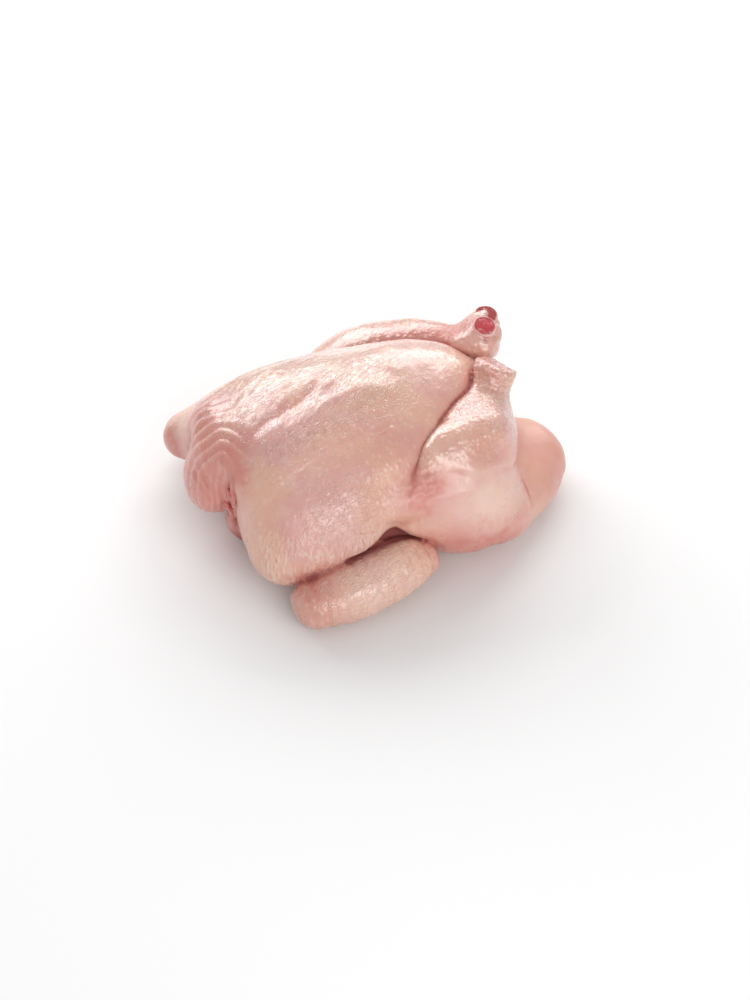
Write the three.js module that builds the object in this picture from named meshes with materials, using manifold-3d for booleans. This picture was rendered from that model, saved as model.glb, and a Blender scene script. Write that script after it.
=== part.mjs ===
// A whole raw chicken, plucked and drawn, lying on its back with its legs folded against the breast
// and its wings at its sides.
//
// Frame: millimetres, +Z up. The neck end points to -X, the tail to +X, the bird's right side to -Y
// and the breast up. The bird rests on the flat of its back at Z = 0, and the origin is the middle
// of its footprint.
//
// Form: every muscle mass is an oval section carried along a smooth path through a few stations.
// The masses are melted into one another with a blend radius for each joint, which gives one
// closed skin. The skin is meshed on a regular lattice and then cut flat at the ground.
import * as THREE from "three";
import { mergeVertices } from "three/addons/utils/BufferGeometryUtils.js";
import Module from "manifold-3d";

const wasm = await Module();
wasm.setup();

// Driving dimensions.
const LATTICE = 5.8;            // edge of a lattice cell, which sets the size of the facets
const MARGIN = 11;              // clear space between the skin and the edge of the lattice
const PROBE = 0.4;              // step used to feel the slope of the skin
const SETTLE_PASSES = 3;        // how often a vertex is moved onto the skin
const FLATTEST_SLOPE = 0.25;    // keeps a step short where the masses' slopes nearly cancel
const SETTLE_LIMIT = 2.3;       // the farthest that one pass may move it
const PINCH_FILL = 0.3;         // how deep a filled lattice point is taken to lie
const STEPS_PER_STATION = 5;    // straight pieces of path between two stations, at the least
const TAPER_STEP = 1.6;         // the most that a section grows or shrinks over one such piece
const CORE = 0.3;               // share of a section, round its middle, where depth is only rough
const CREASE = 5;               // blend radius where two masses only press together
const SOFT = 17;                // blend radius where one mass flows into the next
const BREAST_SOFT = 30;         // blend radius between the two sides of the breast
const KEEL_SOFT = 30;           // blend radius along the breastbone
const FLANK_SOFT = 10;          // blend radius low on the sides and at the tail
const SHANK_SOFT = 12;          // blend radius where the shank swells into the calf
const DRUM_GIRTH_RIGHT = 30;    // half thickness of the calf
const DRUM_GIRTH_LEFT = 25;
const WING_HALF_WIDTH = 19;
const WING_HALF_HEIGHT = 15.5;
const HOCK_OVERHANG = 3;        // how far the skin reaches past the last station of a leg
const KNUCKLE_RADIUS = 6.6;
const KNUCKLE_LENGTH = 13;
const KNUCKLE_ROUNDING = 2;
const KNUCKLE_SIDES = 16;
const KNUCKLE_GAP = 0.15;       // air between a knuckle and its socket in the flesh
const COLLAR_RADIUS = 8.8;      // ball of skin that each knuckle stands in
const COLLAR_DROP = 9.5;        // from a knuckle's face down to the middle of that ball
const COLLAR_BLEND = 3;         // blend radius round that ball
const GROUND_BLOCK = 400;       // side of the block that trims the underside flat

// How thick a drumstick is, as a share of its girth: down the shank, and from there to the knee.
const SHANK_PROFILE = [0.42, 0.42, 0.45];
const DRUM_PROFILE = [0.66, 0.97, 1.04, 0.8];
// How thick a folded wing is from the elbow to the wrist, as a share of its full size.
const WING_PROFILE = [0.84, 1, 0.95, 0.76];

/** Gives each point of a path its half width and half height. */
function taper(path, profile, halfWidth, halfHeight) {
  return path.map((point, i) => [...point, halfWidth * profile[i], halfHeight * profile[i]]);
}

// The muscle masses. A station is [x, y, z, half width, half height].
const MASSES = {
  trunk: [[-61, 3, 40, 42, 38], [-23, -3, 42, 48, 42], [27, -5, 38, 48, 36], [61, -9, 24, 38, 21]],
  back: [[-65, 1, 19, 38, 20], [-23, -3, 19, 50, 21], [27, -5, 19, 50, 21], [61, -11, 17, 44, 18]],
  breastRight: [[-69, -36, 45, 31, 30], [-47, -37, 48, 39, 41], [-7, -30, 52, 41, 43],
    [27, -20, 56, 33, 37], [46, -12, 60, 22, 23]],
  breastLeft: [[-75, 31, 46, 28, 30], [-45, 25, 52, 33, 38], [-7, 19, 55, 33, 37],
    [27, 9.5, 56.5, 26.5, 32.5], [46, -1, 58, 18, 20.5]],
  keel: [[-63, -3, 66, 20, 20], [-28, -3, 74, 21, 22], [9, -3, 76, 20, 20],
    [31, -4, 72, 17, 17], [47, -7, 64, 13, 12]],
  rump: [[50, -23, 19, 54, 20], [76, -21, 17.5, 44, 18], [94.5, -19.4, 16.3, 27, 16]],
  neckSkin: [[-67, 9, 50, 42, 28], [-85, 15.5, 43, 34, 26.5], [-92, 21, 33, 25, 18]],
  neckRoot: [[-63, -3, 28, 20, 22], [-81, 3, 15, 18, 15]],
  armRight: [[-53, -51, 42, 28, 27], [-71, -52, 37, 26, 27], [-83, -55, 30, 19.5, 16.5]],
  armLeft: [[-63, 41, 40, 26, 28], [-81, 55, 36, 20, 21], [-95, 66, 31, 15, 14]],
  flankRight: [[-43, -54, 18, 20, 17], [-8, -45, 18, 20, 17], [17, -42, 18, 18, 16]],
  flankLeft: [[-43, 57, 18, 19, 17], [-8, 57, 18, 19, 17], [17, 51, 18, 18, 16]],
  thighRight: [[-1, -54, 40, 23, 22], [23, -58, 34, 31, 31], [38.5, -54, 30, 29.5, 26]],
  thighLeft: [[1, 59, 38, 23, 23], [29, 55, 34, 30, 28], [55, 41, 30, 32, 27]],
  shankRight: taper([[62.5, -26, 93], [58, -29, 83], [51, -34.5, 72.5]],
    SHANK_PROFILE, DRUM_GIRTH_RIGHT, DRUM_GIRTH_RIGHT),
  shankLeft: taper([[77, 11, 90], [67, 20, 82], [59, 26, 75.5]],
    SHANK_PROFILE, DRUM_GIRTH_LEFT, DRUM_GIRTH_LEFT),
  drumRight: taper([[45.5, -37, 70], [34.5, -42, 64], [9.5, -52, 54], [-6, -54.5, 49]],
    DRUM_PROFILE, DRUM_GIRTH_RIGHT, DRUM_GIRTH_RIGHT * 0.94),
  drumLeft: taper([[54, 29, 73], [42, 37, 66], [17, 53, 55], [1, 59, 45]],
    DRUM_PROFILE, DRUM_GIRTH_LEFT, DRUM_GIRTH_LEFT),
  hockLeft: [[68, 4, 92, 9, 8], [75, 17, 90, 9, 8]],
  hockFlap: [[58, 9, 85, 10, 8], [67, 4, 87, 10, 7], [77, 3, 95, 5, 4]],
  wingRight: taper([[-76, -83, 15], [-55, -85, 18.5], [-29, -82, 22], [-12.5, -78, 20]],
    WING_PROFILE, WING_HALF_WIDTH, WING_HALF_HEIGHT * 1.08),
  wingLeft: taper([[-79, 78, 16], [-59, 85, 16], [-27, 83, 15], [-9, 78, 14]],
    WING_PROFILE, WING_HALF_WIDTH, WING_HALF_HEIGHT),
};

// The two knuckles left bare at the left hock: the middle of each cut face. Both look the same way.
const KNUCKLE_FACES = { knuckle_inner: [69.5, 2, 103], knuckle_outer: [78, 16.6, 99] };
const KNUCKLE_FACING = new THREE.Vector3(-0.1, -0.42, 0.9).normalize();

// The middle of the bird's footprint in the axes of the stations, which becomes the origin.
const FOOTPRINT_MIDDLE = new THREE.Vector2(-2.7, 0.2);

const SKIN_COLOUR = 0xe3b3a6;
const BONE_COLOUR = 0xb8434a;

/**
 * One mass as a function of a point: about the distance to its surface, negative inside. Across
 * each straight piece of the path the section is an oval, and its ends are rounded off.
 */
function sweptOval(stations) {
  const asCurve = (points) => new THREE.CatmullRomCurve3(points, false, "catmullrom");
  const tapers = stations.slice(1).flatMap(([, , , w, h], i) => [w - stations[i][3], h - stations[i][4]]);
  const steepest = Math.max(...tapers.map(Math.abs));
  const count = (stations.length - 1) * Math.max(STEPS_PER_STATION, Math.ceil(steepest / TAPER_STEP));
  const path = asCurve(stations.map(([x, y, z]) => new THREE.Vector3(x, y, z))).getPoints(count);
  const sizes = asCurve(stations.map(([, , , w, h]) => new THREE.Vector3(w, h, 0))).getPoints(count);
  const up = new THREE.Vector3(0, 0, 1);
  const pieces = path.slice(1).map((end, i) => {
    const start = path[i];
    const along = end.clone().sub(start);
    const length = along.length();
    along.normalize();
    const side = along.clone().cross(up).normalize();
    const rise = side.clone().cross(along);
    return { start, along, length, side, rise, from: sizes[i], to: sizes[i + 1] };
  });
  const offset = new THREE.Vector3();
  return (point) => {
    let nearest = Infinity;
    for (const piece of pieces) {
      offset.copy(point).sub(piece.start);
      const reach = offset.dot(piece.along);
      const share = THREE.MathUtils.clamp(reach / piece.length, 0, 1);
      const halfWidth = THREE.MathUtils.lerp(piece.from.x, piece.to.x, share);
      const halfHeight = THREE.MathUtils.lerp(piece.from.y, piece.to.y, share);
      const halfEnd = Math.min(halfWidth, halfHeight);
      const across = offset.dot(piece.side) / halfWidth;
      const upward = offset.dot(piece.rise) / halfHeight;
      const past = (reach - share * piece.length) / halfEnd;
      const radius = Math.hypot(across, upward, past);
      const slope = Math.hypot(across / halfWidth, upward / halfHeight, past / halfEnd) + 1e-9;
      const value = radius < CORE ? (radius - 1) * halfEnd : (radius * (radius - 1)) / slope;
      nearest = Math.min(nearest, value);
    }
    return nearest;
  };
}

/** Joins two masses with a fillet of the given radius. */
function melt(a, b, radius) {
  const overlap = Math.max(radius - Math.abs(a - b), 0) / radius;
  return Math.min(a, b) - (overlap * overlap * radius) / 4;
}

const FORMS = Object.fromEntries(
  Object.entries(MASSES).map(([name, stations]) => [name, sweptOval(stations)]));

/** The plane that cuts a leg off square past its hock, as a function of a point. */
function hockCut([hock, ankle]) {
  const end = new THREE.Vector3(...hock);
  const outward = end.clone().sub(new THREE.Vector3(...ankle)).normalize();
  const plane = new THREE.Plane().setFromNormalAndCoplanarPoint(
    outward, end.addScaledVector(outward, HOCK_OVERHANG));
  return (point) => plane.distanceToPoint(point);
}

const CUT_RIGHT = hockCut(MASSES.shankRight);
const CUT_LEFT = hockCut(MASSES.shankLeft);

/** The ball of skin round the foot of a knuckle, as a function of a point. */
function collar(face) {
  const middle = new THREE.Vector3(...face).addScaledVector(KNUCKLE_FACING, -COLLAR_DROP);
  return (point) => point.distanceTo(middle) - COLLAR_RADIUS;
}

const COLLARS = Object.values(KNUCKLE_FACES).map(collar);

/** The whole skin as a function of a point: zero on the skin and negative inside. */
function skin(point) {
  const at = (name) => FORMS[name](point);
  let breast = melt(at("breastRight"), at("breastLeft"), BREAST_SOFT);
  breast = melt(breast, at("keel"), KEEL_SOFT);
  let body = melt(at("trunk"), at("back"), SOFT);
  for (const name of ["flankRight", "flankLeft", "rump", "neckRoot"]) {
    body = melt(body, at(name), FLANK_SOFT);
  }
  body = melt(body, breast, SOFT);
  for (const name of ["armRight", "armLeft", "neckSkin"]) {
    body = melt(body, at(name), SOFT);
  }
  const drumRight = melt(at("shankRight"), at("drumRight"), SHANK_SOFT);
  const legRight = Math.max(melt(drumRight, at("thighRight"), SOFT), CUT_RIGHT(point));
  const drumLeft = melt(at("shankLeft"), at("drumLeft"), SHANK_SOFT);
  const shankLeft = melt(drumLeft, at("hockLeft"), FLANK_SOFT);
  let legLeft = Math.max(melt(shankLeft, at("thighLeft"), SOFT), CUT_LEFT(point));
  legLeft = melt(legLeft, at("hockFlap"), FLANK_SOFT);
  for (const ball of COLLARS) legLeft = melt(legLeft, ball(point), COLLAR_BLEND);
  for (const mass of [legRight, legLeft, at("wingRight"), at("wingLeft")]) {
    body = melt(body, mass, CREASE);
  }
  return body;
}

/** The eight corners of a lattice cell, and the pairs of corners that share an edge. */
const CORNERS = Array.from({ length: 8 }, (_, i) => [i & 1, (i >> 1) & 1, i >> 2]);
const EDGES = CORNERS.flatMap((_, i) => [1, 2, 4].filter((bit) => !(i & bit)).map((bit) => [i, i | bit]));

/** Whether the corners of one cell that are inside hang together, and those outside too. */
function isPlainCell(inside) {
  return [true, false].every((wanted) => {
    const corners = CORNERS.map((_, i) => i).filter((i) => inside[i] === wanted);
    const reached = new Set(corners.slice(0, 1));
    for (let pass = 0; pass < corners.length; pass += 1) {
      for (const [a, b] of EDGES) {
        const joined = inside[a] === wanted && inside[b] === wanted;
        if (joined && (reached.has(a) || reached.has(b))) reached.add(a).add(b);
      }
    }
    return reached.size === corners.length;
  });
}

/** Samples a field on a cubic lattice around a box. */
function sampleLattice(field, box) {
  const origin = box.min.clone().subScalar(MARGIN);
  const span = box.getSize(new THREE.Vector3()).addScalar(2 * MARGIN).divideScalar(LATTICE);
  const size = [Math.ceil(span.x) + 1, Math.ceil(span.y) + 1, Math.ceil(span.z) + 1];
  const index = (x, y, z) => x + size[0] * (y + size[1] * z);
  const place = (x, y, z) => new THREE.Vector3(x, y, z).multiplyScalar(LATTICE).add(origin);
  const values = new Float64Array(size[0] * size[1] * size[2]);
  for (let z = 0; z < size[2]; z += 1) {
    for (let y = 0; y < size[1]; y += 1) {
      for (let x = 0; x < size[0]; x += 1) values[index(x, y, z)] = field(place(x, y, z));
    }
  }
  return { size, index, place, values };
}

/** Runs a function for every cell of a lattice. */
function forEachCell({ size }, visit) {
  for (let z = 0; z < size[2] - 1; z += 1) {
    for (let y = 0; y < size[1] - 1; y += 1) {
      for (let x = 0; x < size[0] - 1; x += 1) visit(x, y, z);
    }
  }
}

/** Fills the corners of cells where the skin would touch itself, so that it stays one clean sheet. */
function fillPinches(lattice) {
  const { index, values } = lattice;
  let filled = true;
  while (filled) {
    filled = false;
    forEachCell(lattice, (x, y, z) => {
      const ids = CORNERS.map(([dx, dy, dz]) => index(x + dx, y + dy, z + dz));
      const inside = ids.map((id) => values[id] < 0);
      if (isPlainCell(inside)) return;
      const outside = ids.filter((id) => values[id] >= 0);
      const shallowest = outside.reduce((best, id) => (values[id] < values[best] ? id : best));
      values[shallowest] = -PINCH_FILL;
      filled = true;
    });
  }
}

/** Moves a point along the field's slope until it lies on the skin. */
function settle(field, point) {
  const slope = new THREE.Vector3();
  for (let pass = 0; pass < SETTLE_PASSES; pass += 1) {
    for (const axis of ["x", "y", "z"]) {
      const ahead = point.clone();
      const behind = point.clone();
      ahead[axis] += PROBE;
      behind[axis] -= PROBE;
      slope[axis] = (field(ahead) - field(behind)) / (2 * PROBE);
    }
    const step = field(point) / Math.max(slope.lengthSq(), FLATTEST_SLOPE);
    point.addScaledVector(slope, -THREE.MathUtils.clamp(step, -SETTLE_LIMIT, SETTLE_LIMIT));
  }
}

/** Meshes the zero level of a field: one vertex in each cell it crosses, one face round each edge. */
function meshField(field, box) {
  const lattice = sampleLattice(field, box);
  fillPinches(lattice);
  const { index, place, values } = lattice;
  const vertexOf = new Map();
  const points = [];
  forEachCell(lattice, (x, y, z) => {
    const ids = CORNERS.map(([dx, dy, dz]) => index(x + dx, y + dy, z + dz));
    const mean = new THREE.Vector3();
    let crossings = 0;
    for (const [a, b] of EDGES) {
      const from = values[ids[a]];
      const to = values[ids[b]];
      if (from < 0 === to < 0) continue;
      const [ax, ay, az] = CORNERS[a];
      const [bx, by, bz] = CORNERS[b];
      mean.add(place(x + ax, y + ay, z + az).lerp(place(x + bx, y + by, z + bz), from / (from - to)));
      crossings += 1;
    }
    if (crossings === 0) return;
    mean.divideScalar(crossings);
    settle(field, mean);
    vertexOf.set(index(x, y, z), points.length);
    points.push(mean);
  });
  const triangles = [];
  const addFace = (corners, flip) => {
    const [a, b, c, d] = flip ? corners : [...corners].reverse();
    const straight = points[a].distanceTo(points[c]) < points[b].distanceTo(points[d]);
    triangles.push(...(straight ? [a, b, c, a, c, d] : [a, b, d, b, c, d]));
  };
  forEachCell(lattice, (x, y, z) => {
    if (Math.min(x, y, z) === 0) return;
    const here = values[index(x, y, z)] < 0;
    const around = [
      { next: [1, 0, 0], ring: [[0, -1, -1], [0, 0, -1], [0, 0, 0], [0, -1, 0]] },
      { next: [0, 1, 0], ring: [[-1, 0, -1], [-1, 0, 0], [0, 0, 0], [0, 0, -1]] },
      { next: [0, 0, 1], ring: [[-1, -1, 0], [0, -1, 0], [0, 0, 0], [-1, 0, 0]] },
    ];
    for (const { next: [nx, ny, nz], ring } of around) {
      if (here === values[index(x + nx, y + ny, z + nz)] < 0) continue;
      addFace(ring.map(([dx, dy, dz]) => vertexOf.get(index(x + dx, y + dy, z + dz))), here);
    }
  });
  const geometry = new THREE.BufferGeometry().setFromPoints(points);
  geometry.setIndex(triangles);
  return geometry;
}

/** A closed three.js geometry as a solid that can be joined and cut. */
function toSolid(geometry) {
  const bare = geometry.clone();
  bare.deleteAttribute("normal");
  bare.deleteAttribute("uv");
  const merged = mergeVertices(bare, 1e-4);
  return new wasm.Manifold(new wasm.Mesh({
    numProp: 3,
    vertProperties: new Float32Array(merged.attributes.position.array),
    triVerts: new Uint32Array(merged.index.array),
  }));
}

/** A solid as a three.js geometry. */
function toGeometry(solid) {
  const { vertProperties, triVerts } = solid.getMesh();
  const geometry = new THREE.BufferGeometry();
  geometry.setAttribute("position", new THREE.BufferAttribute(vertProperties, 3));
  geometry.setIndex(new THREE.BufferAttribute(triVerts, 1));
  return geometry;
}

/** The box round all stations, out to the half sizes of their sections. */
function massBox() {
  const box = new THREE.Box3();
  for (const [x, y, z, halfWidth, halfHeight] of Object.values(MASSES).flat()) {
    const reach = new THREE.Vector3().setScalar(Math.max(halfWidth, halfHeight));
    const middle = new THREE.Vector3(x, y, z);
    box.expandByPoint(middle.clone().sub(reach)).expandByPoint(middle.clone().add(reach));
  }
  return box;
}

/** A knuckle: a stub of bone with a rounded rim, made larger all over by `grow` for its socket. */
function knuckleGeometry(face, grow) {
  const radius = KNUCKLE_RADIUS + grow;
  const top = grow;
  const foot = -KNUCKLE_LENGTH - grow;
  const outline = new THREE.Path();
  outline.moveTo(0, foot);
  outline.lineTo(radius - KNUCKLE_ROUNDING, foot);
  outline.lineTo(radius, foot + KNUCKLE_ROUNDING);
  outline.lineTo(radius, top - KNUCKLE_ROUNDING);
  outline.quadraticCurveTo(radius, top, radius - KNUCKLE_ROUNDING, top);
  outline.lineTo(0, top);
  const geometry = new THREE.LatheGeometry(outline.getPoints(3), KNUCKLE_SIDES);
  const latheAxis = new THREE.Vector3(0, 1, 0);
  geometry.applyQuaternion(new THREE.Quaternion().setFromUnitVectors(latheAxis, KNUCKLE_FACING));
  return geometry.translate(...face);
}

/** The block of space under the ground plane. */
function groundBlock() {
  return new THREE.BoxGeometry(GROUND_BLOCK, GROUND_BLOCK, GROUND_BLOCK)
    .translate(0, 0, -GROUND_BLOCK / 2);
}

function makeCarcass() {
  let flesh = toSolid(meshField(skin, massBox())).subtract(toSolid(groundBlock()));
  for (const face of Object.values(KNUCKLE_FACES)) {
    flesh = flesh.subtract(toSolid(knuckleGeometry(face, KNUCKLE_GAP)));
  }
  const material = new THREE.MeshStandardMaterial({ color: SKIN_COLOUR, roughness: 0.4, metalness: 0 });
  const mesh = new THREE.Mesh(toGeometry(flesh), material);
  mesh.name = "carcass";
  return mesh;
}

function makeKnuckle([name, face]) {
  const material = new THREE.MeshStandardMaterial({ color: BONE_COLOUR, roughness: 0.35, metalness: 0 });
  const mesh = new THREE.Mesh(knuckleGeometry(face, 0), material);
  mesh.name = name;
  return mesh;
}

const chicken = new THREE.Group();
chicken.add(makeCarcass(), ...Object.entries(KNUCKLE_FACES).map(makeKnuckle));
for (const { geometry } of chicken.children) {
  geometry.translate(-FOOTPRINT_MIDDLE.x, -FOOTPRINT_MIDDLE.y, 0);
}

export default chicken;
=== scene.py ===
"""Looks of a whole raw chicken, plucked and drawn, lying on its back.

The skin is one closed mesh. Each muscle mass is an oval section carried along a smooth path, the
masses are melted into one another, and the zero level of that field is meshed. Folds, ribs and
wrinkles then move the skin along its normals. The two bare knuckles at the left hock and the raw
flesh at the neck are pieces of their own.

Sizes inside the shape functions are millimetres, in the frame's own axes: neck to -X, tail to +X,
the bird's right side to -Y, breast up. Meshes are written in metres.
"""

import bmesh
import bpy
import numpy as np
from bpy.props import FloatProperty, FloatVectorProperty, IntProperty, PointerProperty
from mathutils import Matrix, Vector


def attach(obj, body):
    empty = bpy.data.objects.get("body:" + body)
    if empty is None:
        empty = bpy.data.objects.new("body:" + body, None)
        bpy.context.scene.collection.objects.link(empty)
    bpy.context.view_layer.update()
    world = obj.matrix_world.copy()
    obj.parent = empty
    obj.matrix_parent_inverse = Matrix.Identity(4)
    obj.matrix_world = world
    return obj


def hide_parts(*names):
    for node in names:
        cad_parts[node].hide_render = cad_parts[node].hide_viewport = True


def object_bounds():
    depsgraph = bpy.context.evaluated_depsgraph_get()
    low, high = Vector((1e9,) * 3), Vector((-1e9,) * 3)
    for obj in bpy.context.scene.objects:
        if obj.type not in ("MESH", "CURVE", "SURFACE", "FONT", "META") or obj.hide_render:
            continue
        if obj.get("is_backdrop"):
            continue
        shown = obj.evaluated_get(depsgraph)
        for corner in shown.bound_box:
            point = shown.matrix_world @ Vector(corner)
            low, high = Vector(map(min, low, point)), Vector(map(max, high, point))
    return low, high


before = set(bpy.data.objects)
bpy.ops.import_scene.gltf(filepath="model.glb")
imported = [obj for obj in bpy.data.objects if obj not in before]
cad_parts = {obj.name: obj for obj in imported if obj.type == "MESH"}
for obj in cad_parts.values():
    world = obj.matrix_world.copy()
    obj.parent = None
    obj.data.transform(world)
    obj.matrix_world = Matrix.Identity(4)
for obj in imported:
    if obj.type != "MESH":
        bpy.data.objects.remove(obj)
CAD_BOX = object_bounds()

bl_info = {
    "name": "Raw chicken",
    "version": (1, 0, 0),
    "blender": (4, 5, 0),
    "location": "3D View > Sidebar > Chicken",
    "description": "Builds the skin, knuckles and raw flesh of a whole chicken around its frame",
    "category": "Add Mesh",
}

MM = 0.001
SIDES = ("right", "left")
FOOTPRINT_MIDDLE = (-2.7, 0.2, 0)   # middle of the footprint in the stations' axes: the origin
FIELD_LOW = (-120, -112, 0)         # the box that the skin is looked for in
FIELD_HIGH = (120, 112, 112)
STEPS_PER_STATION = 5       # straight pieces of path between two stations, at the least
TAPER_STEP = 1.6            # the most that a section grows or shrinks over one straight piece
CORE = 0.3                  # share of a section, round its middle, where depth is only rough
FAR = 24.0                  # beyond this distance a mass counts as simply far away

# Blend radii.
SOFT = 17.0                 # where one mass flows into the next
BREAST_SOFT = 30.0          # between the two sides of the breast, and along the breastbone
FLANK_SOFT = 10.0           # low on the sides, at the tail and at the left hock
SHANK_SOFT = 12.0           # where the shank swells into the calf
LEG_CREASE = 3.1            # where a leg only presses against the body
LEG_FLOW = 16.0             # added to it where the leg's skin runs on into the body
NECK_CREASE = 3.0           # low on the neck, where its skin only hangs against the body
NECK_FLOW = 20.0            # added to it high on the neck
WING_CREASE = 4.0
COLLAR_CREASE = 3.0         # round the knuckles
FLOOR_EDGE = 4.0            # round the face that the bird lies on
CUT_EDGE = 3.0              # round the end of a leg
RECESS_EDGE = 1.5

# Grooves along the creases: depth and width.
NECK_GROOVE = (5.0, 4.0)
LEG_GROOVE = (2.4, 1.7)
WING_GROOVE = (1.5, 3.0)

DRUM_GIRTH_RIGHT = 30.0     # half thickness of the calf
DRUM_GIRTH_LEFT = 24.5
WING_HALF_WIDTH = 19.0
WING_HALF_HEIGHT = 15.5
HOCK_OVERHANG = 3.0         # how far the skin reaches past the last station of a leg

SHANK_PROFILE = (0.42, 0.40, 0.44)          # thickness from the hock down the shank
DRUM_PROFILE = (0.56, 0.93, 1.04, 0.80)     # thickness from the shank to the knee
WING_PROFILE = (0.84, 1.0, 0.95, 0.76)      # thickness from the elbow to the wrist


def taper(path, profile, half_width, half_height):
    """Gives each point of a path its half width and half height."""
    return [(*point, half_width * share, half_height * share) for point, share in zip(path, profile)]


# The muscle masses. A station is (x, y, z, half width, half height).
MASSES = {
    "trunk": [(-61, 3, 40, 42, 38), (-23, -3, 42, 48, 42), (27, -5, 38, 48, 36), (61, -9, 24, 38, 21)],
    "back": [(-65, 1, 19, 38, 20), (-23, -3, 19, 50, 21), (27, -5, 19, 50, 21), (61, -11, 17, 44, 18)],
    "breast_right": [(-69, -36, 45, 31, 30), (-47, -37, 48, 39, 41), (-7, -30, 52, 41, 43),
                     (27, -20, 56, 33, 37), (47.4, -15.5, 59.5, 22.5, 23.5)],
    "breast_left": [(-75, 31, 46, 28, 30), (-45, 25, 52, 33, 38), (-7, 19, 55, 33, 37),
                    (27, 9.5, 56.5, 26.5, 32.5), (46, -1, 58, 18, 20.5)],
    "keel": [(-63, -3, 66, 20, 20), (-28, -3, 74, 21, 22), (9, -3, 76, 20, 20),
             (31, -4, 72, 17, 17), (47, -7, 64, 13, 12)],
    "rump": [(50, -23, 19, 54, 20), (76, -21, 17.5, 44, 18), (94.5, -19.4, 16.3, 27, 16)],
    "neck_skin": [(-67, 9, 50, 42, 28), (-85, 15.5, 43, 34, 26.5), (-92, 21, 33, 25, 18)],
    "neck_root": [(-63, -3, 28, 20, 22), (-81, 3, 15, 18, 15)],
    "arm_right": [(-53, -51, 42, 28, 27), (-71, -52, 37, 26, 27), (-83, -55, 30, 19.5, 16.5)],
    "arm_left": [(-63, 41, 40, 26, 28), (-81, 55, 36, 20, 21), (-95, 66, 31, 15, 14)],
    "flank_right": [(-43, -54, 18, 20, 17), (-8, -45, 18, 20, 17), (17, -42, 18, 18, 16)],
    "flank_left": [(-43, 57, 18, 19, 17), (-8, 57, 18, 19, 17), (17, 51, 18, 18, 16)],
    "thigh_right": [(-1, -54, 40, 23, 22), (23, -58, 34, 31, 31), (38.5, -54, 30, 29.5, 26)],
    "thigh_left": [(1, 59, 38, 23, 23), (29, 55, 34, 30, 28), (55, 41, 30, 32, 27)],
    "shank_right": taper([(62.5, -26, 93), (56.5, -28.3, 82), (50.5, -34.5, 72.5)],
                         SHANK_PROFILE, DRUM_GIRTH_RIGHT, DRUM_GIRTH_RIGHT),
    "shank_left": taper([(77, 11, 90), (67, 20, 82), (59, 26, 75.5)],
                        SHANK_PROFILE, DRUM_GIRTH_LEFT, DRUM_GIRTH_LEFT),
    "drum_right": taper([(46, -37.2, 70), (36.2, -42.8, 64), (11, -52.7, 54), (-5, -55, 49)],
                        DRUM_PROFILE, DRUM_GIRTH_RIGHT, DRUM_GIRTH_RIGHT * 0.94),
    "drum_left": taper([(54, 29, 72), (42, 37, 66), (17, 53, 55), (1, 59, 45)],
                       DRUM_PROFILE, DRUM_GIRTH_LEFT, DRUM_GIRTH_LEFT),
    "hock_left": [(68, 4, 92, 9, 8), (75, 17, 90, 9, 8)],
    "hock_flap": [(58, 9, 85, 10, 8), (67, 4, 87, 10, 7), (77, 3, 95, 5, 4)],
    "wing_right": taper([(-76, -83, 15), (-55, -85, 18.5), (-29, -82, 22), (-12.5, -78, 20)],
                        WING_PROFILE, WING_HALF_WIDTH, WING_HALF_HEIGHT * 1.08),
    "wing_left": taper([(-79, 78, 16), (-59, 85, 16), (-27, 83, 15), (-9, 78, 14)],
                       WING_PROFILE, WING_HALF_WIDTH, WING_HALF_HEIGHT),
}
# The hollow between the right wing, the shoulder and the knee, which is taken out of the body.
RECESS = [(-54, -79, 35, 2, 2), (-44, -77.5, 37, 2.8, 2.8), (-35, -76, 40, 4, 4),
          (-29, -74, 41, 5, 5), (-23, -72, 36.5, 5, 5), (-16, -73.5, 32.5, 3.5, 3.5),
          (-8, -77, 29.5, 1.8, 1.8)]

KNUCKLE_FACES = {"knuckle_inner": (69.5, 2, 103), "knuckle_outer": (78, 16.6, 99)}
KNUCKLE_FACING = (-0.1, -0.42, 0.9)
KNUCKLE_RADIUS = 6.6
KNUCKLE_LENGTH = 13.0
KNUCKLE_RIM = 0.16          # width of its rounded rim, as a share of the radius
KNUCKLE_EDGE = 1.1          # height of that rim
COLLAR_RADIUS = 8.8         # ball of skin that each knuckle stands in
COLLAR_DROP = 9.5           # from a knuckle's face down to the middle of that ball

STRAND_SIDES = 20
STRAND_LUMPS = (0.9, 3.4)   # height and size of the lumps on a strand of raw flesh
# The strands of raw flesh. A station is (x, y, z, radius).
STRANDS = [
    [(-97.5, -17.3, 63, 1.0), (-97.6, -19, 56, 2.2), (-96.4, -17.5, 48, 3.0), (-94.4, -14.4, 40, 3.2),
     (-93.2, -11.5, 32, 3.0), (-93, -10, 24, 1.6)],
    [(-99.5, -13, 52, 0.8), (-97.5, -14, 46, 2.2), (-95.3, -13.6, 39, 2.6), (-94, -11.4, 32, 1.2)],
    [(-101.5, -11, 43, 0.8), (-98.5, -11, 36, 2.0), (-95, -8, 29, 2.4), (-94, -5.4, 22, 1.2)],
    [(-96.5, -8, 31, 1.2), (-94.6, -8.4, 24, 2.6), (-94, -10.4, 18, 1.4)],
]

CAMERA_AIM = (-0.0003, -0.0032, 0.0)    # in metres
FLOOR_SIDE = 6000                       # in millimetres
# Lights: right of, beyond and above the bird as the camera sees it, then width and height, in metres.
LIGHTS = {
    "window": ((-0.72, 1.0, 0.82), (1.1, 0.95)),
    "door": ((0.3, 1.1, 0.9), (1.0, 0.85)),
    "fill": ((0.45, -1.15, 0.65), (1.3, 0.7)),
}


# ---- paths, masses and blends

def unit(vectors):
    """Vectors scaled to length one along the last axis."""
    vectors = np.asarray(vectors, float)
    return vectors / (np.linalg.norm(vectors, axis=-1, keepdims=True) + 1e-12)


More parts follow.
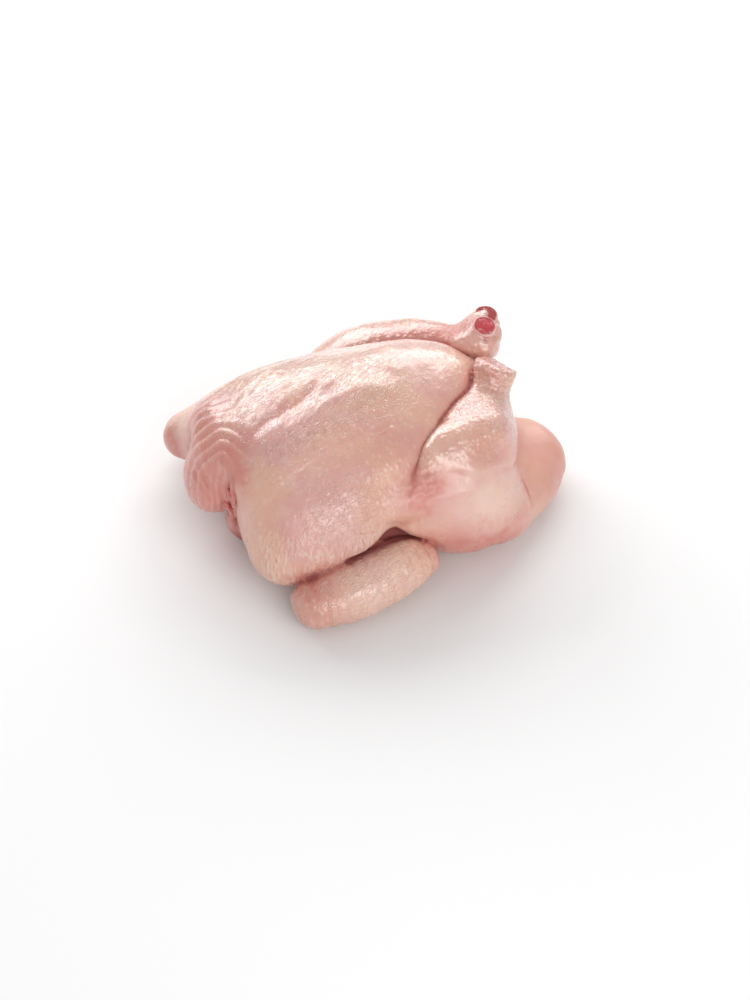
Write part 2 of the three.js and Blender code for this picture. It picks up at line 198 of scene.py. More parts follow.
def smooth_path(stations, steps=STEPS_PER_STATION):
    """Catmull-Rom curve: half of 2b + (c-a)t + (2a-5b+4c-d)t2 + (3b-a-3c+d)t3 between b and c."""
    points = np.asarray(stations, float)
    steepest = np.abs(np.diff(points[:, 3:], axis=0)).max()
    steps = max(steps, int(np.ceil(steepest / TAPER_STEP)))
    points = np.vstack([2 * points[0] - points[1], points, 2 * points[-1] - points[-2]])
    a, b, c, d = points[:-3, None], points[1:-2, None], points[2:-1, None], points[3:, None]
    t = np.linspace(0, 1, steps, endpoint=False)[None, :, None]
    curve = 0.5 * (2 * b + (c - a) * t + (2 * a - 5 * b + 4 * c - d) * t**2
                   + (3 * b - a - 3 * c + d) * t**3)
    return np.vstack([curve.reshape(-1, points.shape[1]), points[-2]])


class SweptOval:
    """An oval section carried along a smooth path, as a function of points.

    Across a straight piece of the path a point lies at radius r = |(across / half width,
    upward / half height, past the end / smaller half)|, and its distance is about
    r (r - 1) / |gradient|. The mass is the nearest of its pieces, negative inside.
    """

    def __init__(self, stations):
        self.curve = smooth_path(stations)
        reach = self.curve[:, 3:].max(axis=1)[:, None]
        self.low = (self.curve[:, :3] - reach).min(axis=0)
        self.high = (self.curve[:, :3] + reach).max(axis=0)

    def __call__(self, points):
        outside = np.maximum(np.maximum(self.low - points, points - self.high), 0)
        value = np.maximum(np.linalg.norm(outside, axis=1), FAR)
        near = np.abs(outside).max(axis=1) < FAR
        value[near] = self.nearest_piece(points[near])
        return value

    def nearest_piece(self, points):
        nearest = np.full(len(points), 1e9)
        for start, end in zip(self.curve[:-1], self.curve[1:]):
            along = end[:3] - start[:3]
            length = np.linalg.norm(along)
            along = along / length
            side = unit(np.cross(along, (0, 0, 1)))
            rise = np.cross(side, along)
            offset = points - start[:3]
            reach = offset @ along
            share = np.clip(reach / length, 0, 1)
            half_width = start[3] + (end[3] - start[3]) * share
            half_height = start[4] + (end[4] - start[4]) * share
            half_end = np.minimum(half_width, half_height)
            across = offset @ side / half_width
            upward = offset @ rise / half_height
            past = (reach - share * length) / half_end
            radius = np.sqrt(across**2 + upward**2 + past**2)
            slope = np.sqrt((across / half_width)**2 + (upward / half_height)**2
                            + (past / half_end)**2) + 1e-9
            value = np.where(radius < CORE, (radius - 1) * half_end, radius * (radius - 1) / slope)
            np.minimum(nearest, value, out=nearest)
        return nearest


def melt(a, b, radius):
    """The nearer of two masses, with a fillet of the given radius where they meet."""
    overlap = np.maximum(radius - np.abs(a - b), 0) / radius
    return np.minimum(a, b) - overlap * overlap * radius / 4


def keep_both(a, b, radius):
    """What lies in both of two masses, with the edge rounded to the given radius."""
    return -melt(-a, -b, radius)


def rise_between(value, low, high):
    """0 below low, 1 above high, and 3t2 - 2t3 between them."""
    t = np.clip((value - low) / (high - low), 0, 1)
    return t * t * (3 - 2 * t)


def press(a, b, radius, groove, share=1.0):
    """Two masses melted together, with a groove where they are equally near.

    The groove is depth times exp(-((a - b) / width)2), times the share that is wanted.
    """
    depth, width = groove
    return melt(a, b, radius) + depth * share * np.exp(-((a - b) / width)**2)


FORMS = {name: SweptOval(stations) for name, stations in MASSES.items()}
HOLLOW = SweptOval(RECESS)


def hock_cut(stations):
    """The plane that cuts a leg off square past its hock, as a function of points."""
    hock, ankle = (np.array(station[:3], float) for station in stations[:2])
    outward = unit(hock - ankle)
    middle = hock + outward * HOCK_OVERHANG
    return lambda points: (points - middle) @ outward


CUTS = {side: hock_cut(MASSES["shank_" + side]) for side in SIDES}


def collar(points, face):
    """A ball of skin round the foot of a knuckle, as a function of points."""
    middle = np.array(face, float) - unit(KNUCKLE_FACING) * COLLAR_DROP
    return np.linalg.norm(points - middle, axis=1) - COLLAR_RADIUS


def chicken_parts(points):
    """The body, the legs and the wings as functions of points, before they are joined."""
    at = {name: form(points) for name, form in FORMS.items()}
    breast = melt(at["breast_right"], at["breast_left"], BREAST_SOFT)
    breast = melt(breast, at["keel"], BREAST_SOFT)
    body = melt(at["trunk"], at["back"], SOFT)
    for name in ("flank_right", "flank_left", "rump", "neck_root"):
        body = melt(body, at[name], FLANK_SOFT)
    for mass in (breast, at["arm_right"], at["arm_left"]):
        body = melt(body, mass, SOFT)
    parts = {"body": body, "neck": at["neck_skin"]}
    for side in SIDES:
        drum = melt(at["shank_" + side], at["drum_" + side], SHANK_SOFT)
        if side == "left":
            drum = melt(drum, at["hock_left"], FLANK_SOFT)
        leg = keep_both(melt(drum, at["thigh_" + side], SOFT), CUTS[side](points), CUT_EDGE)
        if side == "left":
            leg = melt(leg, at["hock_flap"], FLANK_SOFT)
            for face in KNUCKLE_FACES.values():
                leg = melt(leg, collar(points, face), COLLAR_CREASE)
        parts["leg_" + side] = leg
        parts["wing_" + side] = at["wing_" + side]
    return parts


def leg_apart(points):
    """1 where the legs only press against the body, 0 where their skin runs on into it."""
    x, y, z = points.T
    front = rise_between(z, 62, 78)
    behind = rise_between(z, 22, 40)
    back = rise_between(x, 20, 48)
    return front + (behind - front) * back


def skin_field(points):
    """The whole skin as a function of points: zero on the skin and negative inside."""
    parts = chicken_parts(points)
    x, height = points[:, 0], points[:, 2]
    high_neck = rise_between(height, 42, 70)
    apart = leg_apart(points)
    flowing = (1 - apart) * np.maximum(rise_between(height, 44, 58), rise_between(x, 25, 45))
    whole = press(parts["body"], parts["neck"], NECK_CREASE + NECK_FLOW * high_neck,
                  NECK_GROOVE, 1 - high_neck)
    for side in SIDES:
        whole = press(whole, parts["leg_" + side], LEG_CREASE + LEG_FLOW * flowing, LEG_GROOVE, apart)
    whole = keep_both(whole, -HOLLOW(points), RECESS_EDGE)
    for side in SIDES:
        whole = press(whole, parts["wing_" + side], WING_CREASE, WING_GROOVE)
    return keep_both(whole, -height, FLOOR_EDGE)


# ---- meshing the field

BLOCKS = ((4, 4.6), (2, 2.6))   # cells along a block, and from its middle to where skin matters
BLOCK_MARGIN = 1.5          # millimetres added to that, for folds and grooves
BATCH = 200000              # points worked out at once
PINCH_PASSES = 12
PINCH_FILL = 0.05           # how deep inside a filled lattice point lies, in cells
MILDEST_SLOPE = 0.25        # least squared slope that a step onto the skin is divided by
LONGEST_STEP = 0.6          # the most of the field that one such step takes up
CUBE = np.array([(i & 1, (i >> 1) & 1, i >> 2) for i in range(8)])
CUBE_EDGES = [(i, i | bit) for i in range(8) for bit in (1, 2, 4) if not i & bit]


def doubled(grid):
    """A grid of blocks as a grid of blocks half the size."""
    return grid.repeat(2, 0).repeat(2, 1).repeat(2, 2)


def sample_lattice(field, low, high, cell):
    """Field values on a cubic lattice, worked out only near the surface.

    Blocks of 4 cells and then of 2 are tested at their middles, and only lattice points beside a
    block that the surface may cross are worked out. The others keep a plain inside or outside.
    """
    blocks = np.ceil((np.array(high) - low) / (4 * cell)).astype(int)
    values = None
    for size, reach in BLOCKS:
        count = blocks * (4 // size)
        middles = [low[i] + cell * size * (np.arange(count[i]) + 0.5) for i in range(3)]
        grid = np.stack(np.meshgrid(*middles, indexing="ij"), -1).reshape(-1, 3)
        if values is None:
            values = field(grid).reshape(count)
        else:
            values = doubled(values)
            wanted = doubled(near)
            values[wanted] = field(grid[wanted.ravel()])
        near = np.abs(values) < reach * cell + BLOCK_MARGIN
    lattice = np.pad(doubled(np.where(values < 0, -FAR, FAR)), ((0, 1),) * 3, mode="edge")
    wanted = np.pad(doubled(near), ((0, 1),) * 3)
    for axis in range(3):
        wanted |= np.roll(wanted, 1, axis)
    points = np.array(low) + cell * np.argwhere(wanted)
    lattice[wanted] = np.concatenate(
        [field(points[i:i + BATCH]) for i in range(0, len(points), BATCH)])
    return lattice


def corner_view(lattice, corner):
    """The lattice values at one corner of every cell."""
    return lattice[tuple(slice(c, c + n - 1) for c, n in zip(corner, lattice.shape))]


def plain_codes():
    """For each of the 256 ways a cell's corners can lie: does the surface stay one sheet in it."""
    plain = np.ones(256, bool)
    for code in range(256):
        for wanted in (0, 1):
            corners = [i for i in range(8) if (code >> i) & 1 == wanted]
            reached = set(corners[:1])
            for _ in corners:
                for a, b in CUBE_EDGES:
                    if a in corners and b in corners and (a in reached or b in reached):
                        reached |= {a, b}
            plain[code] &= len(reached) == len(corners)
    return plain


def fill_pinches(lattice, cell):
    """Fills lattice points where the skin would touch itself, so that it stays one clean sheet."""
    plain = plain_codes()
    for _ in range(PINCH_PASSES):
        code = sum((corner_view(lattice, CUBE[i]) < 0).astype(int) << i for i in range(8))
        pinched = np.argwhere(~plain[code])
        if len(pinched) == 0:
            return
        corners = pinched[:, None, :] + CUBE[None]
        around = lattice[tuple(corners.reshape(-1, 3).T)].reshape(-1, 8)
        shallowest = np.where(around < 0, np.inf, around).argmin(axis=1)
        chosen = corners[np.arange(len(corners)), shallowest]
        lattice[tuple(chosen.T)] = -PINCH_FILL * cell


def net_mesh(lattice, low, cell):
    """Vertices and quads of the zero level.

    A cell that the surface crosses gets one vertex, the mean of the crossings on its edges, and
    each lattice edge that is crossed gets the quad of the four cells round it.
    """
    inside = lattice < 0
    count = sum(corner_view(inside, corner).astype(int) for corner in CUBE)
    crossed = (count > 0) & (count < 8)
    number = np.full(crossed.shape, -1)
    number[crossed] = np.arange(crossed.sum())
    cells = np.argwhere(crossed)
    total = np.zeros((len(cells), 3))
    hits = np.zeros(len(cells))
    for a, b in CUBE_EDGES:
        from_value = lattice[tuple((cells + CUBE[a]).T)]
        to_value = lattice[tuple((cells + CUBE[b]).T)]
        hit = (from_value < 0) != (to_value < 0)
        share = np.where(hit, from_value / np.where(hit, from_value - to_value, 1), 0)
        total += (CUBE[a] + share[:, None] * (CUBE[b] - CUBE[a])) * hit[:, None]
        hits += hit
    vertices = np.array(low) + cell * (cells + total / hits[:, None])
    quads = []
    for axis, (u, v) in enumerate(((1, 2), (2, 0), (0, 1))):
        here = np.delete(inside, -1, axis)
        there = np.delete(inside, 0, axis)
        edges = np.argwhere(here != there)
        edges = edges[(edges[:, u] > 0) & (edges[:, v] > 0)]
        around = []
        for back_u, back_v in ((1, 1), (0, 1), (0, 0), (1, 0)):
            cell_index = edges.copy()
            cell_index[:, u] -= back_u
            cell_index[:, v] -= back_v
            around.append(number[tuple(cell_index.T)])
        around = np.stack(around, 1)
        starts_inside = here[tuple(edges.T)]
        around[~starts_inside] = around[~starts_inside][:, ::-1]
        quads.append(around)
    return vertices, np.vstack(quads)


def slope_of(field, points, value, probe=0.25):
    """The field's slope by forward steps along X, Y and Z."""
    steps = np.eye(3) * probe
    return np.stack([(field(points + step) - value) / probe for step in steps], 1)


def settle(field, points):
    """Moves points once along the field's slope onto the skin, and gives the normals there.

    The step is value / |slope|2 times the slope, with both held within safe bounds.
    """
    value = field(points)
    slope = slope_of(field, points, value)
    steepness = np.maximum((slope**2).sum(1), MILDEST_SLOPE)
    share = np.clip(value, -LONGEST_STEP, LONGEST_STEP) / steepness
    points = points - share[:, None] * slope
    return points, unit(slope_of(field, points, field(points)))


# ---- random fields

class RandomField:
    """Smooth random field between about -1 and 1.

    Each lattice corner has a random direction. A point takes the dot product of its offset from
    every corner round it with that corner's direction, faded by 6t5 - 15t4 + 10t3.
    """

    def __init__(self, seed):
        self.directions = unit(np.random.default_rng(seed).normal(size=(4096, 3)))

    def __call__(self, points, size):
        scaled = np.asarray(points) / size
        base = np.floor(scaled).astype(np.int64)
        part = scaled - base
        fade = part**3 * (part * (part * 6 - 15) + 10)
        total = np.zeros(len(scaled))
        for corner in CUBE:
            x, y, z = (base + corner).T
            key = (x * 73856093 ^ y * 19349663 ^ z * 83492791) & 4095
            weight = np.prod(np.where(corner == 1, fade, 1 - fade), axis=1)
            total += weight * ((part - corner) * self.directions[key]).sum(axis=1)
        return total * 1.6


WAVES = RandomField(11)
LUMPS = RandomField(23)
STAINS = RandomField(37)


def segment_distance(points, start, end):
    """Distance from points to a straight line between two ends."""
    start, end = np.array(start, float), np.array(end, float)
    along = end - start
    share = np.clip((points - start) @ along / (along @ along), 0, 1)
    return np.linalg.norm(points - start - share[:, None] * along, axis=1)


def ridge(points, line, height, width):
    """A ridge along a line bent at its middle place: height times exp(-(distance / width)2)."""
    distance = np.minimum(segment_distance(points, *line[:2]), segment_distance(points, *line[1:]))
    return height * np.exp(-(distance / width)**2)


def round_ridges(phase):
    """Round ridges with narrow valleys, one to a whole phase: |sin(pi phase)|^0.8 - 0.6."""
    return np.abs(np.sin(np.pi * phase))**0.8 - 0.6


# ---- relief of the skin

REGION_BLUR = 3.0                               # how softly one part's finish gives way to another's
NECK_ARCH = ((-99, -13, 54), (-93, -8, 12))     # line that the neck's arched folds stand round
LEG_TERRACE = ((8.4, 75.4), -0.372)             # x, z and slope of the edge of the calf muscle
LEG_TERRACE_HEIGHT = 1.3
# Ridges along bent lines: three places, the height, which is below 0 in a valley, and the width.
KEEL_VALLEY = (((-79, -13, 86), (-50, -9.5, 97), (-21, 6, 101)), -0.5, 3.5)
BREAST_CREST = (((-77, -22, 85), (-52, -25, 93), (-19, -20, 100)), 2.4, 11)
CALF_CREST = (((2, -62, 78), (20, -63, 82), (44, -58, 81)), 3.4, 10)
# Broad, middling and fine unevenness everywhere: field, height and size.
UNEVENNESS = ((WAVES, 0.7, 26), (LUMPS, 0.35, 12), (LUMPS, 0.12, 5.5))
# Ridges across the skin: height and pitch.
PLEATS = (0.8, 4.4)
PLEAT_DIRECTION = (0.906, -0.423)               # across the pleats, in X and Y
WING_RIBS = (0.55, 7.5)
HOCK_RINGS = {"right": (0.45, 3.6), "left": (0.2, 3.6)}
# Lumps in a few places: height and size.
BREAST_FAT = (0.25, 4.5)
BREAST_FAT_DIRECTION = (0.85, 0.53)             # along these lumps, in X and Y
BREAST_FAT_LENGTHS = (2.2, 1.0, 1.2)            # how much longer they are along, across and upwards
GROOVE_FAT = (0.6, 3.6)
GROOVE_FAT_PLACE = ((-4, -75, 67), 11)
CUT_RAGS = (0.9, 3.4)


def part_regions(points):
    """How much of each vertex belongs to each part, and how near it lies to where two parts meet.

    A share is 1 where a part is clearly nearer than the others, 0 where it is clearly farther. A
    gap is the difference between the distances to the two parts.
    """
    parts = chicken_parts(points)
    regions = {"recess": np.maximum(HOLLOW(points), 0)}
    for name, here in parts.items():
        others = np.minimum.reduce([parts[other] for other in parts if other != name])
        regions[name] = rise_between(others - here, -REGION_BLUR, REGION_BLUR)
    gap = {name: np.abs(parts["body"] - parts[name]) for name in ("neck", "leg_right", "leg_left")}
    for side in SIDES:
        beside = np.minimum(parts["body"], parts["leg_" + side])
        gap["wing_" + side] = np.abs(beside - parts["wing_" + side])
    regions["gap"] = gap
    return regions


def neck_share(points, regions, reach):
    """1 on the loose skin of the neck, where the arched folds are, and 0 elsewhere."""
    x, y, z = points.T
    beside_shoulder = regions["neck"] + (1 - regions["neck"]) * rise_between(z, 50, 62)
    in_front = rise_between(-x, 70, 82) * rise_between(y, -24, -10)
    below_breast = 1 - rise_between(z, 74, 88)
    return (1 - rise_between(reach, 50, 62)) * beside_shoulder * in_front * below_breast


def travel_along(points, name):
    """How far points lie from a mass's first station towards its last one, in millimetres."""
    start, end = (np.array(MASSES[name][i][:3], float) for i in (0, -1))
    return (points - start) @ unit(end - start)


def relief(points, regions, shape):
    """How far each vertex moves outward, in millimetres: the sum of folds, ribs and lumps."""
    x, y, z = points.T
    warp = WAVES(points, 17)
    out = sum(height * field(points, size) for field, height, size in UNEVENNESS)
    # Arched folds of loose skin round the neck: each rises slowly and drops over its outer edge.
    reach = segment_distance(points, *NECK_ARCH) + 3.0 * warp
    phase = reach / shape.fold_pitch
    climb = phase - np.floor(phase)
    folds = climb**0.8 * (1 - rise_between(climb, 0.72, 1.0)) - 0.35
    uneven = 1 + 0.7 * LUMPS(points, 15)
    loose = neck_share(points, regions, reach)
    out += shape.fold_depth * uneven * folds * loose * rise_between(reach, 10, 18)
    # Upright folds inside them, like a gathered curtain.
    (way_x, way_y), (height, pitch) = PLEAT_DIRECTION, PLEATS
    pleats = round_ridges((way_x * x + way_y * y + 4 * warp) / pitch)
    out += height * pleats * loose * (1 - rise_between(reach, 8, 18)) * rise_between(-x, 84, 92)
    for side in SIDES:
        leg, wing = regions["leg_" + side], regions["wing_" + side]
        # Ribs across the wing.
        height, pitch = WING_RIBS
        ribs = round_ridges((travel_along(points, "wing_" + side) + 1.5 * warp) / pitch)
        out += height * (0.6 + LUMPS(points, 20)) * ribs * wing
        # Rings of wrinkles at the hock, and the ragged edge where the leg was cut off.
        travel = travel_along(points, "shank_" + side)
        wavy = travel + 1.2 * warp
        height, pitch = HOCK_RINGS[side]
        out += height * round_ridges(wavy / pitch) * (1 - rise_between(wavy, 6, 16)) * leg
        height, size = CUT_RAGS
        out += height * LUMPS(points, size) * (1 - rise_between(travel, 0.5, 5)) * leg
    # The shallow valley where the skin sinks along the breastbone, and the crest beside it.
    out += ridge(points, *KEEL_VALLEY) * rise_between(-x, 24, 44) + ridge(points, *BREAST_CREST)
    # Lumps of fat under the top of the breast, drawn out with the muscle.
    (way_x, way_y), (height, size) = BREAST_FAT_DIRECTION, BREAST_FAT
    slanting = np.stack([way_x * x + way_y * y, way_x * y - way_y * x, z], 1) / BREAST_FAT_LENGTHS
    out += height * LUMPS(slanting, size) * rise_between(z, 72, 92) * rise_between(-x, -20, 10)
    # Small bumps of fat at the foot of the groove between the breast and the calf.
    height, size = GROOVE_FAT
    middle, radius = GROOVE_FAT_PLACE
    bumps = np.exp(-(np.linalg.norm(points - middle, axis=1) / radius)**2)
    out += height * LUMPS(points, size) * bumps
    # The edge where the right calf muscle ends above the knee, and the edge of the calf's flat top.
    (edge_x, edge_z), lean = LEG_TERRACE
    above = z - (edge_z + (x - edge_x) * lean) + 3 * warp
    terrace = LEG_TERRACE_HEIGHT * rise_between(above, -2.5, 2.5) * rise_between(-y, 45, 60)
    out += (terrace + ridge(points, *CALF_CREST)) * regions["leg_right"]
    return out * rise_between(z, 0.5, 6)


# ---- colour marks on the skin

# Places: x, y, z, radius, strength. Some hold real stains, others painted shade and painted light, as said
# at each list.
# Redder places: mostly redder skin and stains, but painted shade on the far leg's underside, in the crease
# at the neck and at the foot of the groove between the breast and the right calf, and a painted reddish
# reflection low on the right leg.
RED_AND_SHADED_PLACES = [(-98, -10, 45, 17, 1.0), (-94, -8, 18, 15, 1.0), (-108, 62, 29, 12, 1.6),
              (-94, -21, 68, 8, 0.8), (-77, -80, 26, 10, 1.0), (-82, -92, 20, 16, 0.6),
              (8, -84, 26, 18, 0.9), (40, -84, 14, 16, 0.8), (30, -88, 14, 16, 0.6),
              (-10, -77, 61, 9, 0.6), (-6, -74, 67, 9, 0.5), (3, -76, 70, 9, 0.5),
              (-16, -72, 60, 10, 0.5), (30, -70, 77, 12, 0.5), (44, -71, 70, 8, 0.3),
              (60, -27, 95, 11, 1.2), (22, 30, 84, 20, 0.8), (50, 22, 89, 14, 0.9),
              (-4, -76, 67, 9, 0.25), (58, 16, 95, 8, 0.6),
              (68, 10, 98, 5, 0.9), (62, 13.5, 97.6, 3, 1.0), (88, -35, 34, 24, 0.5),
              (-60, -8, 93, 8, 0.5), (-84, -12, 82, 10, 0.5), (-36, 2, 99, 8, 0.4),
              (30, -24, 88, 16, 0.35), (-20, -56, 84, 20, 0.25)]
# Painted shade: dark red laid into the deepest hollows, at the neck's opening, in the hole low on the right
# shoulder and in the slit at the left hock.
DEEP_SHADE_PLACES = [(-76, -79, 29, 4, 0.8), (-94, -19, 40, 9, 0.3), (-93, -16, 24, 10, 0.4),
               (-90, -12, 8, 12, 0.9), (-96, -19, 62, 5, 0.5), (62, 13.5, 97.6, 2, 0.8)]
# Paler places: mostly skin over white fat, but painted light on the top of the left elbow, on the far leg's
# upper side and at the breast tip.
PALE_AND_LIT_PLACES = [(28, -88, 50, 24, 1.0), (-50, -96, 24, 24, 0.8), (-18, -88, 30, 16, 0.6),
               (-99, 64, 44, 12, 1.0), (10, 62, 82, 24, 0.3), (50, -36, 80, 14, 0.8),
               (44, -14, 90, 12, 0.6), (-10, 22, 96, 30, 0.6), (30, -6, 94, 24, 0.5),
               (80, 4, 84, 10, 0.5), (-60, -60, 70, 26, 0.2)]
# Yellower places: skin over yellow fat; at the breast tip the yellow also lifts the tip as painted light.
YELLOW_AND_LIT_PLACES = [(46, -12, 88, 16, 0.9), (-12, -86, 28, 18, 0.95), (82, 2, 88, 9, 0.9),
                 (100, -30, 25, 18, 0.3), (-70, 70, 30, 22, 0.4), (14, -40, 84, 12, 0.3),
                 (-30, -70, 60, 20, 0.15)]
GOOSE_PLACES = [(-4, -75, 67, 10, 0.8)]
# Places whose finish differs, with smoother edges.
ZONES = {
    "knee": [(28, -90, 44, 27, 1.2)],
    "flap": [(70, 3, 90, 17, 1.6)],
    "dull": [(-2, -76, 68, 11, 0.8), (56, 20, 92, 9, 1.0)],
    "calf": [(8, -56, 82, 12, 0.8)],
    "front": [(-52, -74, 64, 24, 1.3)],
}
HOLLOW_PASSES = 6           # how many times the skin is evened out to find its hollows
CREASE_WIDTH = 1.6          # how far from a crease its painted dark line of shade reaches
BLUSH_WIDTH = 6.5           # how far from a crease the skin is redder, partly as painted shade
RECESS_WIDTH = 2.0          # how far round the hollow above the wing the skin is painted dark, as painted shade


def round_patches(points, places, raggedness=0.25):
    """Sum of round patches, for stains and for painted shade and light: strength times exp(-(distance /
    radius)2), with ragged edges.
    """
    ragged = 1 + raggedness * STAINS(points, 9) + raggedness * STAINS(points, 4)
    total = np.zeros(len(points))
    for x, y, z, radius, strength in places:
        distance = np.linalg.norm(points - (x, y, z), axis=1) * ragged
        total += strength * np.exp(-(distance / radius)**2)
    return np.clip(total, 0, 1)


def neighbour_mean(values, quads):
    """The mean of each vertex's neighbours along the quads' sides."""
    sides = np.concatenate([quads[:, [i, (i + 1) % 4]] for i in range(4)])
    count = np.bincount(sides[:, 0], minlength=len(values))
    columns = [np.bincount(sides[:, 0], column[sides[:, 1]], len(values)) for column in values.T]
    return np.stack(columns, 1) / count[:, None]


def hollowness(vertices, quads, normals):
    """How far each vertex lies below its wider surroundings, in millimetres."""
    mean = vertices
    for _ in range(HOLLOW_PASSES):
        mean = neighbour_mean(mean, quads)
    return ((mean - vertices) * normals).sum(axis=1)


def colour_marks(points, quads, normals, regions):
    """The named marks that the skin's material reads, from 0 to 1, and for wet a little more.

    A crease's mark fades from it by exp(-(gap / width)2).
    """
    x, y, z = points.T
    hollow = hollowness(points, quads, normals)
    gap = regions["gap"]
    apart = leg_apart(points)
    low_neck = 1 - rise_between(z, 48, 72)
    shares = {"neck": low_neck, "leg_right": apart, "leg_left": apart, "wing_right": 0.9,
              "wing_left": 0.9}

    def beside_creases(width):
        return np.maximum.reduce([share * np.exp(-(gap[name] / width)**2)
                                  for name, share in shares.items()])

    # Painted shade: a dark red line along the creases, in the deepest hollows and round the hollow above the
    # wing.
    crease = beside_creases(CREASE_WIDTH) * rise_between(hollow, 0.05, 0.35)
    crease += round_patches(points, DEEP_SHADE_PLACES, 0.4)
    crease += 1.1 * np.exp(-(regions["recess"] / RECESS_WIDTH)**2)
    legs = regions["leg_right"] + regions["leg_left"]
    wings = regions["wing_right"] + regions["wing_left"]
    body = (1 - legs) * (1 - wings)
    hocks = sum(regions["leg_" + side] * (1 - rise_between(travel_along(points, "shank_" + side), 22, 42))
                for side in SIDES)
    zone = {name: round_patches(points, places, 0.1) for name, places in ZONES.items()}
    knee, flap, dull = zone["knee"], zone["flap"], zone["dull"]
    loose = neck_share(points, regions, segment_distance(points, *NECK_ARCH))
    rump = rise_between(x, 62, 80) * (1 - legs)
    smooth = np.clip(knee + loose + 0.8 * rump, 0, 1)
    high = rise_between(z, 62, 80) * (1 - (1 - legs) * rise_between(-y, 48, 62))
    shoulder = rise_between(-y, 42, 66) * rise_between(-x, 12, 40) * (1 - rise_between(z, 44, 66))
    top = rise_between(z, 64, 90) * (1 - legs) * (1 - 0.85 * rise_between(x, -10, 26))
    top = top * rise_between(y, -48, -28)
    creamy = rise_between(y, 4, 16) * rise_between(x, -34, -6) * rise_between(z, 80, 92)
    crinkle = 0.03 + 0.95 * top * (1 - creamy) + 0.5 * wings + 0.5 * zone["front"] * body - 0.2 * smooth
    goose = 0.3 * hocks + legs * rise_between(z, 70, 84) - knee - flap + round_patches(points, GOOSE_PLACES)
    marks = {
        "crease": crease,
        # Painted shade and light: above 0.5 the skin lies in a hollow and is painted redder, below 0.5 it
        # stands on a crest and is painted paler.
        "hollow": 0.5 + hollow,
        # Partly painted: the red places hold painted shade and a painted reflection, and the redness beside
        # the creases is partly painted shade.
        "red": round_patches(points, RED_AND_SHADED_PLACES) + 0.2 * beside_creases(BLUSH_WIDTH) + 0.8 * loose,
        # Partly painted light: the pale and yellow places lift the left elbow's top, the far leg's upper
        # side and the breast tip.
        "pale": round_patches(points, PALE_AND_LIT_PLACES),
        "yellow": round_patches(points, YELLOW_AND_LIT_PLACES),
        "pimples": 0.6 - smooth - 0.4 * top - flap,
        "goose": goose,
        "crinkle": crinkle,
        "hanging": shoulder * body,
        "far": rise_between(y, -6, 4),
        "wet": high + 0.4 * knee + 0.4 * loose - dull,
        "dull": dull + 0.8 * rump,
        "scaly": hocks - flap,
    }
    marks = {name: np.clip(values, 0, 1) for name, values in marks.items()}
    marks["wet"] += zone["calf"]
    return marks


# ---- meshes

def new_object(name, data):
    """An object at the origin, in the scene."""
    made = bpy.data.objects.new(name, data)
    bpy.context.scene.collection.objects.link(made)
    return made


def mesh_piece(name, vertices_mm, faces, marks=None):
    """A smooth-shaded mesh object at the origin, with its marks stored on its vertices."""
    mesh = bpy.data.meshes.new(name)
    places = (np.asarray(vertices_mm) - FOOTPRINT_MIDDLE) * MM
    mesh.from_pydata(places.tolist(), [], np.asarray(faces).tolist())
    for mark, values in (marks or {}).items():
        layer = mesh.attributes.new(mark, "FLOAT", "POINT")
        layer.data.foreach_set("value", np.asarray(values, dtype=np.float32))
    mesh.polygons.foreach_set("use_smooth", np.ones(len(mesh.polygons), bool))
    mesh.update()
    return new_object(name, mesh)


def grid_faces(rows, columns):
    """Quads of a grid whose columns close on themselves."""
    row, column = np.mgrid[0:rows - 1, 0:columns]
    here = row * columns + column
    beside = row * columns + (column + 1) % columns
    return np.stack([here, beside, beside + columns, here + columns], -1).reshape(-1, 4)


def tidy_poles(piece):
    """Merges the rows that shrink to a point and turns all faces outwards."""
    shell = bmesh.new()
    shell.from_mesh(piece.data)
    bmesh.ops.remove_doubles(shell, verts=shell.verts, dist=1e-6)
    bmesh.ops.dissolve_degenerate(shell, dist=1e-7, edges=shell.edges)
    bmesh.ops.recalc_face_normals(shell, faces=shell.faces)
    shell.to_mesh(piece.data)
    shell.free()
    piece.data.update()


def ring(side, front, count):
    """Directions evenly round from one through another: cos(turn) side + sin(turn) front."""
    turn = np.linspace(0, 2 * np.pi, count, endpoint=False)[:, None]
    return np.cos(turn) * side[..., None, :] + np.sin(turn) * front[..., None, :]


def frame_about(axis):
    """Three unit vectors, the last along the axis."""
    axis = unit(axis)
    side = unit(np.cross(axis, (0, 0, 1) if abs(axis[2]) < 0.9 else (1, 0, 0)))
    return side, np.cross(axis, side), axis


# ---- materials

class Wire:
    """A number that varies over a material. Arithmetic on it adds Math nodes."""

    def __init__(self, bench, socket):
        self.bench = bench
        self.socket = socket

    def maths(self, operation, *values):
        return self.bench.node("ShaderNodeMath", {"operation": operation}, dict(enumerate(values)))

    def __add__(self, other):
        return self.maths("ADD", self, other)

    def __sub__(self, other):
        return self.maths("SUBTRACT", self, other)

    def __rsub__(self, other):
        return self.maths("SUBTRACT", other, self)

    def __mul__(self, other):
        return self.maths("MULTIPLY", self, other)

    def __pow__(self, other):
        return self.maths("POWER", self, other)

    __radd__ = __add__
    __rmul__ = __mul__

    def absolute(self):
        return self.maths("ABSOLUTE", self)

    def clamped(self):
        settings = {"operation": "ADD", "use_clamp": True}
        return self.bench.node("ShaderNodeMath", settings, {0: self, 1: 0.0})

    def between(self, low, high):
        """0 below low, 1 above high, smooth between."""
        settings = {"interpolation_type": "SMOOTHSTEP"}
        values = {"Value": self, "From Min": low, "From Max": high}
        return self.bench.node("ShaderNodeMapRange", settings, values)


